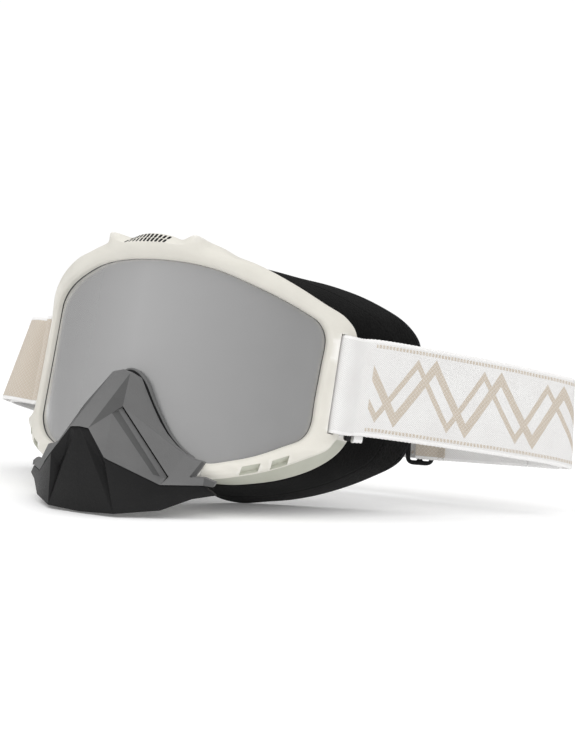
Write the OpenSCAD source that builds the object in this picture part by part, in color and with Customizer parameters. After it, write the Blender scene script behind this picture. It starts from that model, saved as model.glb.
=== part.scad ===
// Off-road goggles: white frame, mirrored double lens, three-layer face foam,
// press-in nose guard and an elastic strap with two sliders.
// Everything is drawn in the lens's own frame (lens apex at the origin, X across,
// Y backwards, Z up the lens) and leaned back as the goggles rest on a table.

/* [Lens] */
// Radius of the cylinder that the lens lip follows
lens_r = 95; // [93:1:97]
// Thickness of the mirrored outer pane
outer_pane_t = 1.2; // [1:0.1:1.3]
// Thickness of the clear inner pane
inner_pane_t = 0.8; // [0.6:0.1:0.9]
// Thickness of the seal between the panes
pane_seal_t = 2.7; // [2.4:0.1:2.8]

/* [Foam] */
// Share of the foam's depth taken by the firm layer on the frame
firm_share = 0.5; // [0.4:0.05:0.6]
// Share of the foam's depth at which the fleece begins
fleece_share = 0.93; // [0.9:0.01:0.95]
// How far the foam's sides bulge
foam_bulge = 1.6; // [0.5:0.1:2.5]

/* [Strap] */
// Width of the elastic strap
strap_w = 48; // [44:1:49]
// Thickness of the strap
strap_t = 1.4; // [1.2:0.1:1.5]
// Distance of a slider from the far end of the strap's straight rear run
slider_right_x = 87; // [80:1:95]
// Place of the left slider on the straight rear run
slider_left_x = -38; // [-42:1:-34]

/* [Nose guard] */
// Wall of the upper plate
plate_t = 2.2; // [1.8:0.1:2.6]
// Wall of the faceted deflector
deflector_t = 2; // [1.6:0.1:2.4]
// Radius of the pegs that press into the frame
peg_r = 1.6; // [1.4:0.1:1.8]

/* [Rest] */
// Angle that the lens leans back when the goggles rest on a table
lean = 12; // [11:0.5:13]

/* [Hidden] */

// The origin of the part in the leaned lens frame: the middle of the face opening
face_centre = [0, 52, -8];

// One row per station, from the brow's middle down to the nose, right half:
// lens edge (arc, height), rim edge (arc, height), back of the frame's wall (x, y, z),
// outer back edge of the foam (x, y, z), inner back edge of the foam (x, y, z)
HALF = [
    [0, 50.4,    0, 61.5,   0, 18, 58.5,      0, 48, 59,      0, 43, 44],
    [20, 49.7,  22, 61,    22, 21, 58,       24, 52, 59.5,   20, 46, 44],
    [35, 47.7,  40, 56.5,  38, 27, 54.5,     45, 62, 60,     36, 53, 44.5],
    [50, 43.9,  56, 52.3,  51, 35, 50,       62, 75, 59.5,   50, 64, 44],
    [65, 39.9,  72, 47.2,  64, 45, 45.5,     76, 88, 58.5,   62, 76, 43],
    [79, 35.4,  88, 41.8,  75, 57, 40,       88, 101, 55.5,  72, 88, 40],
    [87, 32,   101, 37,    81, 67, 33.5,     95, 110, 51,    79, 97, 36],
    [91, 25,   108.5, 29,  84.5, 74, 25,     98.5, 116, 42,  83, 103, 28],
    [90.8, 12, 110.5, 14,  86, 77, 12,       99.5, 119.5, 27, 84.5, 106.5, 17],
    [90.2, -4, 110.5, -2,  86, 77, -2,       99.5, 120, 8,   85, 107, 4],
    [90, -17,  109.5, -16, 85, 75, -13.5,    99, 119, -10,   84, 106, -7],
    [86.5, -24.5, 103, -25, 81.5, 69, -26,     96, 115, -22,   80, 102, -16],
    [78, -30.3, 90, -34,   75, 57, -36.5,    86, 106, -32,   71, 94, -24],
    [66, -36.5, 74, -42.2, 65, 44, -44.5,      71, 96, -42,    60, 85, -31],
    [54, -41,   58, -48,   53, 33, -49.5,    56, 87, -49,    49, 77, -36],
    [43, -43.8, 46, -51,   43, 27, -51.5,    43, 79, -53,    40, 69, -37],
    [34, -40.8, 36, -50.5, 34, 23, -51,      31, 70, -56,    31, 60, -35],
    [25, -33.5, 27, -45,   26, 20, -45.5,    22, 58, -54.5,  24, 50, -30],
    [16, -21.5, 18, -33,   18, 18, -35,      15, 46, -45,    17, 40, -22],
    [8, -9.5,    9, -21,   9.5, 16.5, -24,   8, 38, -31,      9, 33, -14],
    [0, -5,      0, -16,   0, 16, -19.5,     0, 35, -25,      0, 30, -10]
];
MIRROR = [-1, 1, -1, 1, -1, 1, 1, -1, 1, 1, -1, 1, 1];
HALF_N = len(HALF) - 1;
LOOP_N = 2 * HALF_N;
RINGS = 80;

// The lens groove, as depths in front of the lip's radius
groove_front = -2.3;
groove_back = -7.9;
lens_front = -2.5;

// The strap's two layers lie this far to each side of the sliders' middle plane
band_offset = 2.9;
return_offset = -2;

// Straight rear run of the strap, along which both sliders travel
run_start = [140, 168, 13];
run_end = [-60, 148, 4];
run_yaw = atan2(run_start[1] - run_end[1], run_start[0] - run_end[0]);
run_pitch = -asin((run_start[2] - run_end[2]) / norm(run_start - run_end));

// Route of the strap's middle plane: x, y, z and the lean of its width in x and y
ROUTE = [
    [88.2, 60.8, 5.2, 0, 0], [93.6, 68.2, 6, 0, -0.01], [104, 82.5, 7.6, 0, -0.03],
    [122, 107.2, 10.2, -0.02, -0.1], [140, 131.8, 12.6, -0.05, -0.15],
    [150.5, 146, 13.9, -0.07, -0.18], [157, 154.8, 14.4, -0.07, -0.2],
    [162, 162, 14.6, -0.06, -0.2], [165.6, 167.8, 14.6, -0.05, -0.2],
    [165.6, 172, 14.4, -0.04, -0.2], [162, 173.4, 14.2, -0.03, -0.2],
    [155.5, 171, 13.8, -0.01, -0.2], run_point(147), run_point(110), run_point(80),
    run_point(40), run_point(0), run_point(-40), run_point(-60), [-78, 144.5, 3.6, 0, -0.16],
    [-94, 136, 4, 0.05, -0.1], [-107.5, 123, 4.6, 0.11, -0.05], [-116.5, 108, 5.2, 0.18, 0],
    [-121, 92.5, 5.8, 0.23, 0], [-120.8, 80, 6, 0.24, 0], [-116.5, 71, 6, 0.22, 0],
    [-108.5, 67, 5.9, 0.16, 0], [-100.5, 67.2, 5.6, 0.09, 0], [-94.8, 67.4, 5.4, 0.03, 0],
    [-91.2, 64.8, 5.2, 0, 0], [-88.2, 60.8, 5.2, 0, 0]
];
// Where the outer layer passes over the side bar, and the inner layer behind it
OVER_BAR = [[81.4, 49.4], [84.4, 47.2], [87, 46.6], [88.9, 49], [90, 53.6]];
BEHIND_BAR = [[80.5, 50.5], [82, 54], [84, 58.2]];

function run_point(x) = let (k = (x - run_end[0]) / (run_start[0] - run_end[0]))
    concat(run_end + k * (run_start - run_end), [0, -0.2]);

function unit(v) = v / norm(v);
function mix(a, b, k) = a + (b - a) * k;
function spline(a, b, c, d, t) = 0.5 * (2 * b + (c - a) * t + (2 * a - 5 * b + 4 * c - d) * t * t
                                        + (3 * b - a - 3 * c + d) * t * t * t);
// A row of the closed loop of stations
function row(i) = let (j = (i % LOOP_N + LOOP_N) % LOOP_N)
    j <= HALF_N ? HALF[j] : [for (k = [0 : len(MIRROR) - 1]) HALF[LOOP_N - j][k] * MIRROR[k]];
function station(s) = let (i = floor(s))
    spline(row(i - 1), row(i), row(i + 1), row(i + 2), s - i);
// A point on the lens cylinder: arc and height at the lip, and depth in front of it
function wrap(uz, d) = let (a = uz[0] / 95 * 180 / PI)
    [(lens_r + d) * sin(a), lens_r - (lens_r + d) * cos(a), uz[1]];
function lens_edge(r) = [r[0], r[1]];
function rim_edge(r) = [r[2], r[3]];
function wall_back(r) = [r[4], r[5], r[6]];
function foam_outer(r) = [r[7], r[8], r[9]];
function foam_inner(r) = [r[10], r[11], r[12]];
function outward(r) = unit(rim_edge(r) - lens_edge(r));
function inward(r) = unit(foam_inner(r) - foam_outer(r));

// The outside of the rim, from its crown to the wall: a flange at the sides and below
function side_rim(lip, rim, n) =
    [wrap(mix(lip, rim, 0.45), 3.2), wrap(rim - 1.8 * n, 2.4), wrap(rim, 0.4),
     wrap(rim - 0.4 * n, -1.4), wrap(lip + 6.5 * n, -2.2)];
// and over the brow a crease, then a top surface that rolls back to the wall
function brow_rim(lip, rim, n, w) =
    [wrap(lip + 4 * n, 3.3), wrap(lip + 7.8 * n, 2.6), wrap(rim, -3.4), wrap(rim - 0.5 * n, -8),
     mix(wrap(rim - 0.5 * n, -8), w, 0.55)];
// How much of the brow's shape a station has
function brow_share(lip, rim) = lip[1] < 30 ? 0 :
    let (k = min(max((52 - abs(rim[0])) / 12, 0), 1)) k * k * (3 - 2 * k);

// Cross-section of the frame: lip, bulging rim, inset wall, foam flange, lens groove
function frame_section(r) =
    let (lip = lens_edge(r), rim = rim_edge(r), n = outward(r), w = wall_back(r), m = inward(r),
         flange_in = w + 11 * m, side = side_rim(lip, rim, n), brow = brow_rim(lip, rim, n, w))
    [wrap(lip, 0), wrap(lip + 1.2 * n, 1.6),
     each [for (i = [0 : 4]) mix(side[i], brow[i], brow_share(lip, rim))],
     w, flange_in, flange_in - [0, 1.6, 0],
     w + 2.2 * m - [0, 1.6, 0], wrap(lip + 4.2 * n, -9.6), wrap(lip, -9.6),
     wrap(lip, groove_back), wrap(lip + 3.2 * n, groove_back),
     wrap(lip + 3.2 * n, groove_front), wrap(lip, groove_front)];

// Cross-section of one foam layer between two shares of its depth
function foam_section(r, k0, k1, gap) =
    let (w = wall_back(r), f = foam_outer(r), g = foam_inner(r), m = inward(r), v = w + 12.5 * m,
         mid = (k0 + k1) / 2, swell0 = foam_bulge * 4 * k0 * (1 - k0),
         swell1 = foam_bulge * 4 * k1 * (1 - k1), back = [0, gap, 0])
    [mix(w, f, k0) - swell0 * m + back, mix(w, f, mid) - foam_bulge * 4 * mid * (1 - mid) * m,
     mix(w, f, k1) - swell1 * m, mix(v, g, k1), mix(v, g, mid), mix(v, g, k0) + back];

// Cross-section of a vent foam: a wedge laid on the inside of the frame's wall
function vent_section(r) =
    let (n = outward(r), m = inward(r), front = wrap(lens_edge(r) + 4.2 * n, -9.6),
         rear = wall_back(r) + 2.2 * m - [0, 1.6, 0], d = unit(rear - front),
         p = unit(m - (m * d) * d), a = mix(front, rear, 0.1) + 0.6 * p,
         b = mix(front, rear, 0.48) + 0.6 * p)
    [a, b, b + 0.8 * p, a + 2.5 * p];

// Joins sections of equal length into one closed solid; the side from corner `crossed` to the
// next is split along its other diagonal
module sweep(sections, closed, crossed = -1) {
    n = len(sections);
    k = len(sections[0]);
    last = closed ? n - 1 : n - 2;
    sides = [for (i = [0 : last], j = [0 : k - 1])
        let (a = i * k, b = ((i + 1) % n) * k, c = (j + 1) % k)
        each j == crossed ? [[a + j, b + j, a + c], [b + j, b + c, a + c]]
                          : [[a + j, b + j, b + c], [a + j, b + c, a + c]]];
    caps = closed ? [] : [[for (j = [0 : k - 1]) j], [for (j = [k - 1 : -1 : 0]) (n - 1) * k + j]];
    polyhedron([for (s = sections) each s], concat(sides, caps));
}

// Leans the lens frame back and puts the origin in the middle of the face opening
module placed() {
    translate(-face_centre) rotate([-lean, 0, 0]) children();
}

// The outline of the lens seen along Y at one radius, grown outwards
function lens_outline(r, grow) = [for (i = [0 : RINGS - 1])
    let (s = station(i * LOOP_N / RINGS), p = lens_edge(s) + grow * outward(s),
         a = p[0] / 95 * 180 / PI) [r * sin(a), p[1]]];

// A curved pane between two radii
module pane(r_front, t, grow) {
    intersection() {
        translate([0, lens_r, -60]) difference() {
            cylinder(r = r_front, h = 130, $fn = 180);
            translate([0, 0, -1]) cylinder(r = r_front - t, h = 132, $fn = 180);
        }
        translate([0, lens_r - 20, 0]) rotate([90, 0, 0])
            linear_extrude(120) polygon(lens_outline(r_front - t / 2, grow));
    }
}

module slot_cutter(side) {
    mirror([side < 0 ? 1 : 0, 0, 0]) translate([83.3, 48.1, 4.8]) rotate([0, 0, 60.5])
        cube([4.4, 24, 50.5], center = true);
}

module vent_cutters() {
    for (x = [-30 : 15 : 30])
        translate([x, 11 + x * x * 0.006, 58]) cube([9, 5, 9], center = true);
    for (side = [-1, 1], p = [[59.5, 16.5, -42], [70.2, 25.4, -36.2]])
        translate([side * p[0], p[1], p[2]]) rotate([0, side * -28, side * 40])
            cube([9.5, 4, 4], center = true);
}

// The nose guard's pegs: where each one ends inside the frame's nose rim, and its length
PEGS = [[[0, 2, -10.5], 15], [[-40, 12, -47.6], 10.5], [[40, 12, -47.6], 10.5]];

// Draws the children at each peg's inner end, with Z along the peg towards the front
module at_pegs() {
    for (p = PEGS) translate(p[0]) rotate([90 + lean, 0, 0]) {
        $peg_l = p[1];
        children();
    }
}
module peg_holes() {
    at_pegs() translate([0, 0, -1]) cylinder(r = peg_r + 0.3, h = 9, $fn = 32);
}

module frame() color("white") placed() difference() {
    sweep([for (i = [0 : RINGS - 1]) frame_section(station(i * LOOP_N / RINGS))], true);
    slot_cutter(1);
    slot_cutter(-1);
    vent_cutters();
    peg_holes();
}

module lens_outer() color("silver") placed()
    pane(lens_r + lens_front, outer_pane_t, 2.2);
module lens_seal() color("dimgray") placed() difference() {
    pane(lens_r + lens_front - outer_pane_t - 0.05, pane_seal_t - 0.1, 0.9);
    pane(lens_r + lens_front - outer_pane_t + 1, pane_seal_t + 2, -3.5);
}
module lens_inner() color("lightblue") placed()
    pane(lens_r + lens_front - outer_pane_t - pane_seal_t, inner_pane_t, 2);

module vent_foam(from, to) color("dimgray") placed()
    sweep([for (s = [from : 0.5 : to]) vent_section(station(s))], false);
module top_vent_foam() vent_foam(-2.5, 2.5);
module lower_vent_foam_right() vent_foam(12, 14.5);
module lower_vent_foam_left() mirror([1, 0, 0]) lower_vent_foam_right();

module foam_layer(k0, k1, gap) placed()
    sweep([for (i = [0 : RINGS - 1]) foam_section(station(i * LOOP_N / RINGS), k0, k1, gap)], true, 5);
module face_foam_firm() color([0.12, 0.12, 0.12]) foam_layer(0, firm_share, 0.3);
module face_foam_soft() color([0.17, 0.17, 0.17]) foam_layer(firm_share, fleece_share, 0.1);
module face_fleece() color([0.08, 0.08, 0.08]) foam_layer(fleece_share, 1, 0.1);

// Right half of the nose plate's outer face, down the middle and round to the rim
PLATE_RIM = [[0, -9.8, -6.6], [4.8, -9.4, -7.7], [8.5, -5, -9], [13.2, -4.4, -15], [17.9, -3.6, -21.6],
             [22.4, -2.7, -28.3], [26.6, -1.7, -33.6], [31, -0.3, -38.2], [35.4, 1.2, -41.4],
             [39.8, 2.9, -43.4], [42.8, 3.8, -43.8], [41.6, -1.5, -51.6]];
PLATE_FRONT = [[0, -36.4, -38.2], [4.8, -36, -38.6], [14.3, -33.7, -50.8], [33, -13.3, -58.2],
               [42, -4, -56], [47, 1, -55]];
KNEE = [10, -19.5, -25.2];

function flip(p) = [-p[0], p[1], p[2]];
// A faceted shell: outer points, a copy moved inwards by `in`, faces as lists of indices
module facet_shell(pts, faces, rim, in) {
    n = len(pts);
    polyhedron(
        concat(pts, [for (p = pts) p + in]),
        concat(faces,
               [for (f = faces) [for (i = [len(f) - 1 : -1 : 0]) f[i] + n]],
               [for (i = [0 : len(rim) - 1]) let (a = rim[i], b = rim[(i + 1) % len(rim)])
                   each [[b, a, a + n], [b, a + n, b + n]]]));
}

// The upper plate: half of its facets, as a fan between the rim, the knee and the front edge
module plate_half() {
    pts = concat(PLATE_RIM, PLATE_FRONT, [KNEE]);
    r = len(PLATE_RIM);
    knee = len(pts) - 1;
    faces = concat(
        [[0, 1, r + 1], [0, r + 1, r], [1, knee, r + 1]],
        [for (i = [1 : r - 2]) [i, i + 1, knee]],
        [[r - 1, r + 3, knee], [r - 1, r + 4, r + 3], [r - 1, r + 5, r + 4],
         [knee, r + 3, r + 2], [knee, r + 2, r + 1]]);
    rim = concat([for (i = [0 : r - 1]) i], [r + 5, r + 4, r + 3, r + 2, r + 1, r]);
    facet_shell(pts, faces, rim, [0, plate_t, plate_t * 0.35]);
}

module both_halves() {
    children();
    mirror([1, 0, 0]) children();
}

module nose_plate() color("gray") placed() both_halves() plate_half();

// The deflector below the plate: its front edge, the beak's corners and the wing tip
DEFLECTOR = [[0, -36.4, -38.8], [4.8, -36, -39.2], [14.3, -33.7, -51.4], [33, -13.3, -58.8],
             [47, 1, -55.6], [51.5, 6, -58.5], [43.5, -1.5, -62], [33.7, -11, -69.5],
             [17.7, -23.5, -74.4], [0, -24, -75.4]];

module deflector_half() {
    faces = [[0, 1, 8], [0, 8, 9], [1, 2, 8], [2, 3, 8], [3, 7, 8], [3, 4, 7], [4, 6, 7], [4, 5, 6]];
    facet_shell(DEFLECTOR, faces, [0, 1, 2, 3, 4, 5, 6, 7, 8, 9], [0, deflector_t * 1.2, deflector_t * 0.35]);
}

module nose_deflector() color([0.16, 0.16, 0.16]) placed() both_halves() deflector_half();

module nose_pegs() color("dimgray") placed() at_pegs() cylinder(r = peg_r, h = $peg_l, $fn = 32);

// A black bar in the strap's loop behind each side bar, which carries the strap's pull
module strap_post() color([0.1, 0.1, 0.1]) translate([88.6, 60.5, 5])
    rotate([0, 0, 54]) cube([3.4, 2.8, 55], center = true);
module strap_post_right() placed() strap_post();
module strap_post_left() placed() mirror([1, 0, 0]) strap_post();

// A ring of the strap at one route row, moved sideways by an offset
function strap_ring(p, ahead, behind, offset) =
    let (w = unit([p[3], p[4], 1]), d = unit([for (k = [0 : 2]) ahead[k] - behind[k]]),
         n = unit(cross(d, w)), c = [p[0], p[1], p[2]] + offset * n)
    [c + strap_t / 2 * n + strap_w / 2 * w, c + strap_t / 2 * n - strap_w / 2 * w,
     c - strap_t / 2 * n - strap_w / 2 * w, c - strap_t / 2 * n + strap_w / 2 * w];
function route_at(list, s) = let (i = min(floor(s), len(list) - 2), n = len(list) - 1)
    spline(list[max(i - 1, 0)], list[i], list[i + 1], list[min(i + 2, n)], s - i);
function strap_rings(list, from, to, steps, offset) = [for (i = [0 : steps])
    let (s = from + (to - from) * i / steps)
    strap_ring(route_at(list, s), route_at(list, min(s + 0.05, len(list) - 1)),
               route_at(list, max(s - 0.05, 0)), offset)];
// Rows for the stretch at a side bar, seen as on the right
function bar_rows(points) = [for (p = points) [p[0], p[1], 4.9, 0, 0]];
function flipped(rows) = [for (i = [len(rows) - 1 : -1 : 0])
    let (r = rows[i]) [-r[0], r[1], r[2], -r[3], r[4]]];
OVER_RIGHT = bar_rows(OVER_BAR);
BEHIND_RIGHT = bar_rows(BEHIND_BAR);

module strap_band() color("white") placed()
    sweep(concat(strap_rings(concat(OVER_RIGHT, [ROUTE[0] + [2.6, -1, 0, 0, 0]]), 0, 4.6, 10, 0),
                 strap_rings(ROUTE, 0.25, 29.75, 78, band_offset),
                 strap_rings(flipped(concat(OVER_RIGHT, [ROUTE[0] + [2.6, -1, 0, 0, 0]])), 0.4, 5, 10, 0)),
          false);

module strap_return_right() color("white") placed()
    sweep(concat(strap_rings(BEHIND_RIGHT, 0, 2, 4, 0),
                 strap_rings(ROUTE, 0.25, 12.2, 36, return_offset)), false);
module strap_return_left() color("white") placed()
    sweep(concat(strap_rings(ROUTE, 18.6, 29.75, 34, return_offset),
                 strap_rings(flipped(BEHIND_RIGHT), 0, 2, 4, 0)), false);

// Turns a drawing so that X runs along the rear run, Z up the strap and Y outwards
module on_run(x) {
    p = run_point(x);
    placed() translate([p[0], p[1], p[2]]) rotate([11.6, run_pitch, run_yaw]) children();
}

module rounded_bar(w, h, r, t) {
    rotate([90, 0, 0]) translate([0, 0, -t / 2]) linear_extrude(t) {
        square([w - 2 * r, h], center = true);
        square([w, h - 2 * r], center = true);
        for (x = [-1, 1], z = [-1, 1])
            translate([x * (w / 2 - r), z * (h / 2 - r)]) circle(r = r, $fn = 32);
    }
}

// A slider: three bars joined at the top and bottom
module slider() color([0.1, 0.1, 0.1]) difference() {
    rounded_bar(16, strap_w + 7, 5, 2);
    for (x = [-1, 1]) translate([x * 3.4, 0, 0]) cube([4.2, 4, strap_w + 2], center = true);
}
module slider_right() on_run(slider_right_x) slider();
module slider_left() on_run(slider_left_x) slider();

// The sewn end of the strap: a sleeve round the slider's middle bar and a folded flap
module strap_end(side) color("white") {
    difference() {
        cube([5, 3.6, strap_w], center = true);
        cube([3.2, 2.1, strap_w + 1], center = true);
    }
    translate([side * 8.9, -2.9, 0]) cube([13, 2.6, strap_w], center = true);
}
module strap_end_right() on_run(slider_right_x) strap_end(1);
module strap_end_left() on_run(slider_left_x) strap_end(-1);

frame();
lens_outer();
lens_inner();
lens_seal();
top_vent_foam();
lower_vent_foam_right();
lower_vent_foam_left();
face_foam_firm();
face_foam_soft();
face_fleece();
nose_plate();
nose_deflector();
nose_pegs();
strap_post_right();
strap_post_left();
strap_band();
strap_return_right();
strap_return_left();
slider_right();
slider_left();
strap_end_right();
strap_end_left();
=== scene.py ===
"""Off-road goggles: every visible piece, built in millimetres in the lens's own frame
(lens apex at the origin, X across, Y backwards, Z up the lens) and placed as they rest.
Inside it, arc and height give a place on the lens's cylinder, and depth how far it stands out."""

import math

import bmesh
import bpy
import numpy as np
from mathutils import Matrix, Vector


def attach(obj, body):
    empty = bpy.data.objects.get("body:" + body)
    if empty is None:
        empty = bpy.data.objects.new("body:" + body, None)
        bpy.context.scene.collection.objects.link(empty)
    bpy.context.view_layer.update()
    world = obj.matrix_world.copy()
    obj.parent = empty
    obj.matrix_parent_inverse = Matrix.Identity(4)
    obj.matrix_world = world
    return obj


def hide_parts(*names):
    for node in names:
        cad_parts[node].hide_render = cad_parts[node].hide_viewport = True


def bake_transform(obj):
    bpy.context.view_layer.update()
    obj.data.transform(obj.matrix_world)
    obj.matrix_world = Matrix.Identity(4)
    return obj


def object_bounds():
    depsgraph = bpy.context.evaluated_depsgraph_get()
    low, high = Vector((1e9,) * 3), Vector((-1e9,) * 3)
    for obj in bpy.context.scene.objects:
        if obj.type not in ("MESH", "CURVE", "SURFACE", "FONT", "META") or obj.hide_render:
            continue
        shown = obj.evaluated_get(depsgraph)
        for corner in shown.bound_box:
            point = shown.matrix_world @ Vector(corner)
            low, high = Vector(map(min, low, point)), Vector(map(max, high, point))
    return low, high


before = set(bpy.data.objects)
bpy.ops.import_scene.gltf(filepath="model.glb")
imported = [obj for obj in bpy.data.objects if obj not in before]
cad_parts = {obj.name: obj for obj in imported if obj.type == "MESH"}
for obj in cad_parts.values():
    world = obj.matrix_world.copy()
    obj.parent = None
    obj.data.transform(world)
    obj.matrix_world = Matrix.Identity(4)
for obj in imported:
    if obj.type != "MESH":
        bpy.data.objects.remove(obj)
cad_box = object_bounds()

LEAN = math.radians(12)        # the lens leans back
REST = np.array([0, -52, 8])   # the lens's apex in the shared frame
LIP_RADIUS = 95                # radius of the lens's cylinder
STRAP_WIDTH = 48.0
SIDES = (-1, 1)


# ------------ places and curves

def placed(points):
    """Millimetres in the lens frame to metres in the shared frame."""
    p = np.asarray(points, float)
    y = p[..., 1] * math.cos(LEAN) + p[..., 2] * math.sin(LEAN)
    z = -p[..., 1] * math.sin(LEAN) + p[..., 2] * math.cos(LEAN)
    return (np.stack([p[..., 0], y, z], -1) + REST) / 1000


def unit(v):
    """Vectors of length 1."""
    return v / np.linalg.norm(v, axis=-1, keepdims=True)


def mix(a, b, k):
    """A share k of the way from a to b."""
    return a + (b - a) * k


def hump(x, middle, width):
    """A smooth hump, 1 high."""
    return np.exp(-((x - middle) / width) ** 2)


def fade(x, middle):
    """Falls smoothly from 1 to 0 round its middle."""
    return 1 / (1 + np.exp((x - middle) / 1.5))


def run_along(points):
    """The distance from the first point to each point of a line."""
    return np.concatenate([[0], np.cumsum(np.linalg.norm(np.diff(points, axis=0), axis=1))])


def spline(a, b, c, d, t):
    """A smooth curve from b to c that also heeds its neighbours a and d."""
    return 0.5 * (2 * b + (c - a) * t + (2 * a - 5 * b + 4 * c - d) * t ** 2
                  + (3 * b - a - 3 * c + d) * t ** 3)


# One row per station, from the brow's middle down to the nose, right half: lens edge (arc, height),
# rim edge (arc, height), back of the frame's wall, outer and inner back edge of the foam (X, Y, Z)
HALF = np.array([
    [0, 50.4, 0, 61.5, 0, 18, 58.5, 0, 48, 59, 0, 43, 44],
    [20, 49.7, 22, 61, 22, 21, 58, 24, 52, 59.5, 20, 46, 44],
    [35, 47.7, 40, 56.5, 38, 27, 54.5, 45, 62, 60, 36, 53, 44.5],
    [50, 43.9, 56, 52.3, 51, 35, 50, 62, 75, 59.5, 50, 64, 44],
    [65, 39.9, 72, 47.2, 64, 45, 45.5, 76, 88, 56.8, 62, 76, 43],
    [80, 35.4, 88, 41.8, 75, 57, 40, 88, 101, 52.2, 72, 88, 40],
    [88.5, 32, 102, 37.6, 81, 67, 33.5, 95, 110, 46.5, 79, 97, 36],
    [93, 25, 110, 30, 84.5, 74, 25, 98.5, 116, 39.5, 83, 103, 28],
    [92.8, 12, 110.5, 14, 86, 77, 12, 99.5, 119.5, 27, 84.5, 106.5, 17],
    [92.2, -4, 110.5, -2, 86, 77, -2, 99.5, 120, 8, 85, 107, 4],
    [92, -17, 109.5, -16, 85, 75, -13.5, 99, 119, -10, 84, 106, -7],
    [88, -24.5, 103, -25, 81.5, 69, -26, 96, 115, -22, 80, 102, -16],
    [78, -30.3, 90, -34, 75, 57, -36.5, 86, 106, -32, 71, 94, -24],
    [66, -36.5, 74, -42.2, 65, 44, -44.5, 71, 96, -42, 60, 85, -31],
    [54, -41, 58, -48, 53, 33, -49.5, 56, 87, -49, 49, 77, -36],
    [43, -43.8, 46, -51, 43, 27, -51.5, 43, 79, -53, 40, 69, -37],
    [34, -40.8, 36, -50.5, 34, 23, -51, 31, 70, -56, 31, 60, -35],
    [25, -33.5, 27, -45, 26, 20, -45.5, 22, 58, -54.5, 24, 50, -30],
    [16, -21.5, 18, -33, 18, 18, -35, 15, 46, -45, 17, 40, -22],
    [8, -9.5, 9, -21, 9.5, 16.5, -24, 8, 38, -31, 9, 33, -14],
    [0, -5, 0, -16, 0, 16, -19.5, 0, 35, -25, 0, 30, -10],
])
FLIP = np.array([-1, 1, -1, 1, -1, 1, 1, -1, 1, 1, -1, 1, 1])
LOOP = np.concatenate([HALF, HALF[-2:0:-1] * FLIP])


def stations(places):
    """Rows of the closed loop at any places along it."""
    places = np.asarray(places, float)
    row = np.floor(places).astype(int)
    a, b, c, d = (LOOP[(row + k) % len(LOOP)] for k in (-1, 0, 1, 2))
    return spline(a, b, c, d, (places - row)[:, None])


def even_stations(count, start=0, end=len(LOOP)):
    """Rows spaced evenly along the frame's rim."""
    fine = np.linspace(start, end, 2400)
    run = run_along(stations(fine)[:, 2:4])
    closed = start == 0 and end == len(LOOP)
    return stations(np.interp(np.linspace(0, run[-1], count, endpoint=not closed), run, fine))


def wrap(point, depth):
    """A place on the lens's cylinder: arc and height, and depth in front of the lip."""
    angle = point[..., 0] / LIP_RADIUS
    radius = LIP_RADIUS + depth
    return np.stack([radius * np.sin(angle), LIP_RADIUS - radius * np.cos(angle), point[..., 1]], -1)


def lens_edge(rows):
    """Lens edge of each row, and its direction away from the lens (arc and height)."""
    return rows[:, :2], unit(rows[:, 2:4] - rows[:, :2])


def back_edges(rows):
    """Back of the frame's wall, outer and inner edge of the foam, and the direction inwards."""
    wall, outer, inner = rows[:, 4:7], rows[:, 7:10], rows[:, 10:13]
    return wall, outer, inner, unit(inner - outer)


def rounded(sections, radii, steps):
    """Rounds the corners of closed sections, with steps points at each; radii is one number
    or one for each corner."""
    back = np.roll(sections, 1, axis=1) - sections
    ahead = np.roll(sections, -1, axis=1) - sections
    radii = np.broadcast_to(radii, sections.shape[1])[None, :, None]
    reach_back = np.minimum(radii, 0.48 * np.linalg.norm(back, axis=2, keepdims=True))
    reach_ahead = np.minimum(radii, 0.48 * np.linalg.norm(ahead, axis=2, keepdims=True))
    a = sections + unit(back) * reach_back
    b = sections + unit(ahead) * reach_ahead
    arcs = [a * (1 - t) ** 2 + sections * 2 * t * (1 - t) + b * t ** 2
            for t in np.linspace(0, 1, steps)]
    return np.stack(arcs, 2).reshape(len(sections), -1, 3)


# ------------ meshes

def add_mesh(name, verts, faces, sharp=40):
    """An object from points in the shared frame, with outward normals and smooth shading."""
    mesh = bpy.data.meshes.new(name)
    mesh.from_pydata([tuple(v) for v in verts], [], [tuple(f) for f in faces])
    bm = bmesh.new()
    bm.from_mesh(mesh)
    bmesh.ops.recalc_face_normals(bm, faces=bm.faces)
    bm.to_mesh(mesh)
    bm.free()
    obj = bpy.data.objects.new(name, mesh)
    bpy.context.scene.collection.objects.link(obj)
    smooth(obj, sharp)
    return obj


def smooth(obj, sharp):
    """Smooth shading, with sharp edges above an angle in degrees."""
    obj.data.polygons.foreach_set("use_smooth", [True] * len(obj.data.polygons))
    obj.data.set_sharp_from_angle(angle=math.radians(sharp))


def modify(obj, kind, **settings):
    """Adds a modifier and applies it to the mesh straight away."""
    made = obj.modifiers.new(kind.lower(), kind)
    for key, value in settings.items():
        setattr(made, key, value)
    graph = bpy.context.evaluated_depsgraph_get()
    graph.update()
    mesh = bpy.data.meshes.new_from_object(obj.evaluated_get(graph))
    obj.modifiers.clear()
    obj.data = mesh


def grid_faces(rows, columns, closed_rows=False):
    """Quads between rows of points; each row is a closed outline."""
    made = []
    for i in range(rows if closed_rows else rows - 1):
        for j in range(columns):
            a, b = i * columns, (i + 1) % rows * columns
            k = (j + 1) % columns
            made.append((a + j, b + j, b + k, a + k))
    return made


def capped_faces(rows, columns):
    """Quads between rows of points, with a cap at each end."""
    last = (rows - 1) * columns
    return grid_faces(rows, columns) + [tuple(range(columns)), tuple(range(last, last + columns))]


def ring_mesh(name, sections, closed=True, sharp=40):
    """A solid from sections in the lens frame, as a closed ring or with capped ends."""
    rows, columns = sections.shape[:2]
    faces = grid_faces(rows, columns, True) if closed else capped_faces(rows, columns)
    return add_mesh(name, placed(sections.reshape(-1, 3)), faces, sharp)


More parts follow.
